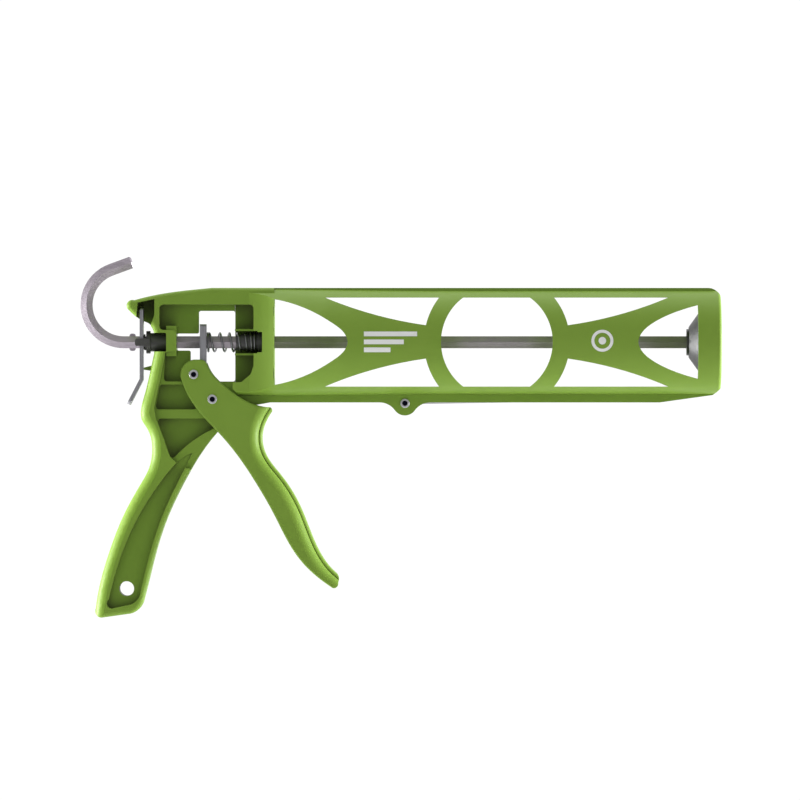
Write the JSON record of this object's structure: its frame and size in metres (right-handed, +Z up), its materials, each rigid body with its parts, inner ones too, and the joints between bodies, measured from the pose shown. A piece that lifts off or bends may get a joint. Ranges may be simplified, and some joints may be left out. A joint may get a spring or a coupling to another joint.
{
  "type": "caulking gun",
  "caption": "Skeleton caulking gun with a moulded frame, open half-round cartridge cradle, hooked push rod, release plate and squeeze trigger.",
  "frame": {"origin": "on the push rod's axis, at the face of the post that the back of the cartridge rests against", "axes": "+X along the rod towards the nozzle, +Z up, away from the grip, +Y towards the cradle's open side"},
  "size_m": [0.3388, 0.0503, 0.191],
  "materials": {
    "green_moulding": "satin moulded, fine even texture",
    "green_trigger": "satin moulded, fine even texture",
    "rod_steel": "drawn bar, plated, light wear",
    "plate_steel": "zinc plated, blanked",
    "rivet_steel": "zinc plated",
    "hard_steel": "turned",
    "spring_steel": "drawn wire",
    "wire_steel": "zinc plated wire",
    "plunger_steel": "pressed sheet, zinc plated",
    "black_plastic": "moulded",
    "washer_plastic": "moulded"
  },
  "bodies": {
    "frame": {"frame": "green_moulding", "front_bush": "black_plastic", "rear_bush": "black_plastic", "pivot_sleeve": "hard_steel", "puncture_rivet": "rivet_steel", "drive_spring": "spring_steel", "release_spring": "spring_steel"},
    "trigger": {"trigger": "green_trigger", "trigger_pivot_rivet": "rivet_steel", "drive_pin_rivet": "rivet_steel", "pivot_washers": "washer_plastic"},
    "roller": {"drive_roller": "hard_steel"},
    "drive": {"drive_plate": "plate_steel"},
    "rod": {"push_rod": "rod_steel", "plunger_cup": "plunger_steel", "plunger_backing": "plunger_steel", "plunger_washer": "plunger_steel", "plunger_nut": "hard_steel"},
    "release": {"release_plate": "plate_steel"},
    "wire": {"puncture_wire": "wire_steel"}
  },
  "joints": [
    {"name": "trigger_squeeze", "type": "hinge", "parent": "frame", "child": "trigger", "pos_m": [-0.0327, 0, -0.0302], "axis": [0, 1, 0], "range_deg": [0, 40], "stiffness_Nm_per_rad": 0.25, "springref_deg": -34.38},
    {"name": "drive_plate_slide", "type": "slide", "parent": "frame", "child": "drive", "axis": [1, 0, 0], "range_m": [0, 0.0109], "deforming": ["drive_spring"]},
    {"name": "drive_roller_spin", "type": "hinge", "parent": "trigger", "child": "roller", "pos_m": [-0.0426, 0, -0.0171], "axis": [0, 1, 0], "continuous": true},
    {"name": "rod_slide", "type": "slide", "parent": "frame", "child": "rod", "axis": [1, 0, 0], "range_m": [-0.214, 0]},
    {"name": "release_plate_tilt", "type": "hinge", "parent": "frame", "child": "release", "pos_m": [-0.0704, 0, 0.018], "axis": [0, 1, 0], "range_deg": [0, 6], "stiffness_Nm_per_rad": 0.02, "springref_deg": -11.46, "deforming": ["release_spring"]},
    {"name": "puncture_wire_swing", "type": "hinge", "parent": "frame", "child": "wire", "pos_m": [0.0691, 0, -0.0323], "axis": [0, 1, 0], "range_deg": [0, 90]}
  ],
  "couplings": [
    {"joint": "drive_plate_slide", "follows": "trigger_squeeze", "m_per_rad": 0.01541}
  ]
}
